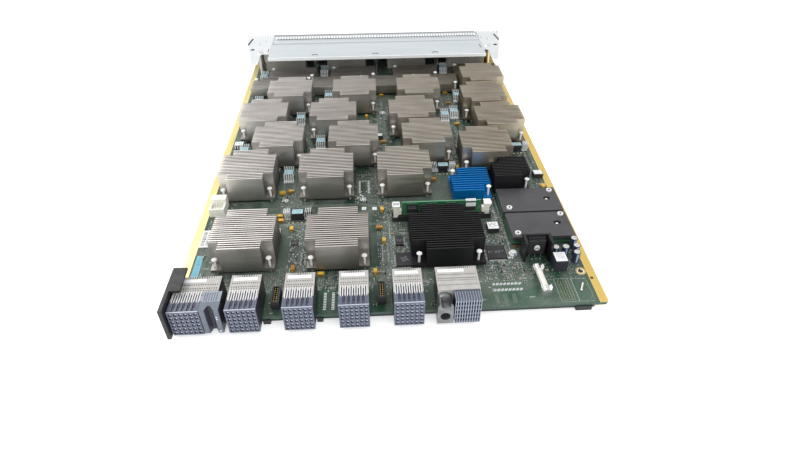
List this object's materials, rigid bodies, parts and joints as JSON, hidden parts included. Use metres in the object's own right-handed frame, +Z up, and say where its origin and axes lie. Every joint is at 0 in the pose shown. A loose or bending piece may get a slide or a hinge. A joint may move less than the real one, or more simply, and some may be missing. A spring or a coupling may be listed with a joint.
{
  "type": "switch line card",
  "caption": "Full-width chassis line card: a large circuit board under rows of finned heat sinks, backplane connectors at one end and a port faceplate with ejector levers at the other.",
  "frame": {"origin": "centre of the footprint, level with the lowest face of the card", "axes": "+X across the card to the right seen from the connector end, +Y along the card from the backplane connectors to the port faceplate, +Z up from the board through the heat sinks"},
  "size_m": [0.386, 0.5642, 0.0459],
  "materials": {
    "sink_aluminium": "extruded, warm silver, faintly brushed",
    "black_anodised": "black anodised",
    "blue_anodised": "blue anodised",
    "chip_black": "moulded epoxy",
    "relay_black": "moulded case with a plain white label",
    "board_green": "solder mask over glass-epoxy laminate",
    "memory_green": "solder mask",
    "white_nylon": "moulded nylon",
    "latch_cream": "moulded nylon",
    "connector_grey": "glass-filled polymer",
    "die_cast_grey": "die cast",
    "wafer_cream": "glass-filled polymer",
    "socket_black": "moulded",
    "black_steel": "black powder coat",
    "baseplate_grey": "dark grey anodised plate",
    "bright_steel": "nickel plated",
    "finger_steel": "tin-plated spring strip",
    "fuse_ceramic": "glazed ceramic tube",
    "can_aluminium": "aluminium can in a dark sleeve",
    "tantalum_yellow": "moulded epoxy",
    "zinc_steel": "zinc plated sheet",
    "cage_steel": "nickel-silver cage",
    "dark_post": "turned steel",
    "brass_post": "yellow chromate",
    "lever_grey": "die cast, light grey"
  },
  "bodies": {
    "card": {"asic_heatsinks_row_1": "sink_aluminium", "asic_heatsinks_row_2": "sink_aluminium", "asic_heatsinks_row_3": "sink_aluminium", "asic_heatsinks_row_4": "sink_aluminium", "asic_heatsinks_row_5": "sink_aluminium", "asic_packages": "chip_black", "backplane_connectors": "connector_grey", "black_heatsink_large": "black_anodised", "black_heatsink_small": "black_anodised", "blue_heatsink": "blue_anodised", "board_screws": "bright_steel", "box_headers": "socket_black", "bracket_screws": "bright_steel", "ceramic_fuse": "fuse_ceramic", "circuit_board": "board_green", "connector_wafers": "wafer_cream", "contact_finger_strip": "finger_steel", "controller_packages": "chip_black", "converter_baseplates": "baseplate_grey", "converter_boards": "board_green", "cover_plate": "zinc_steel", "cover_standoffs": "bright_steel", "electrolytic_capacitors": "can_aluminium", "end_bracket_left": "zinc_steel", "end_bracket_right": "zinc_steel", "end_guide_wall": "black_steel", "end_post_left": "dark_post", "end_post_right": "brass_post", "faceplate": "zinc_steel", "flat_chips": "chip_black", "front_stiffener": "black_steel", "fuse_clips": "bright_steel", "guide_socket": "die_cast_grey", "keying_block": "connector_grey", "lever_pins": "bright_steel", "memory_module": "memory_green", "memory_socket": "socket_black", "mixed_header": "connector_grey", "port_cage_1": "cage_steel", "port_cage_2": "cage_steel", "port_cage_3": "cage_steel", "port_cage_4": "cage_steel", "port_heatsinks": "sink_aluminium", "port_packages": "chip_black", "power_transistor": "chip_black", "push_pins": "white_nylon", "relay": "relay_black", "side_connector": "latch_cream", "tantalum_capacitors": "tantalum_yellow", "transistor_heatsink": "black_anodised", "voltage_regulators": "chip_black"},
    "lever_left": {"ejector_lever_left": "lever_grey"},
    "lever_right": {"ejector_lever_right": "lever_grey"},
    "washer_left": {"captive_washer_left": "bright_steel"},
    "washer_right": {"captive_washer_right": "bright_steel"},
    "screw_left": {"captive_screw_left": "bright_steel"},
    "screw_right": {"captive_screw_right": "bright_steel"},
    "latch_left": {"memory_latch_left": "latch_cream"},
    "latch_right": {"memory_latch_right": "latch_cream"}
  },
  "joints": [
    {"name": "ejector_left", "type": "hinge", "parent": "card", "child": "lever_left", "pos_m": [-0.186, 0.27755, 0.0222], "axis": [0, 0, 1], "range_deg": [0, 60]},
    {"name": "ejector_right", "type": "hinge", "parent": "card", "child": "lever_right", "pos_m": [0.186, 0.27755, 0.0222], "axis": [0, 0, -1], "range_deg": [0, 60]},
    {"name": "screw_travel_left", "type": "slide", "parent": "card", "child": "washer_left", "axis": [0, 1, 0], "range_m": [0, 0.004]},
    {"name": "screw_turn_left", "type": "hinge", "parent": "washer_left", "child": "screw_left", "pos_m": [-0.1755, 0.27505, 0.0222], "axis": [0, 1, 0], "continuous": true},
    {"name": "screw_travel_right", "type": "slide", "parent": "card", "child": "washer_right", "axis": [0, 1, 0], "range_m": [0, 0.004]},
    {"name": "screw_turn_right", "type": "hinge", "parent": "washer_right", "child": "screw_right", "pos_m": [0.1755, 0.27505, 0.0222], "axis": [0, 1, 0], "continuous": true},
    {"name": "memory_latch_left", "type": "hinge", "parent": "card", "child": "latch_left", "pos_m": [0.0112, -0.14385, 0.011], "axis": [0, -1, 0], "range_deg": [0, 28]},
    {"name": "memory_latch_right", "type": "hinge", "parent": "card", "child": "latch_right", "pos_m": [0.1008, -0.14385, 0.011], "axis": [0, 1, 0], "range_deg": [0, 28]}
  ]
}
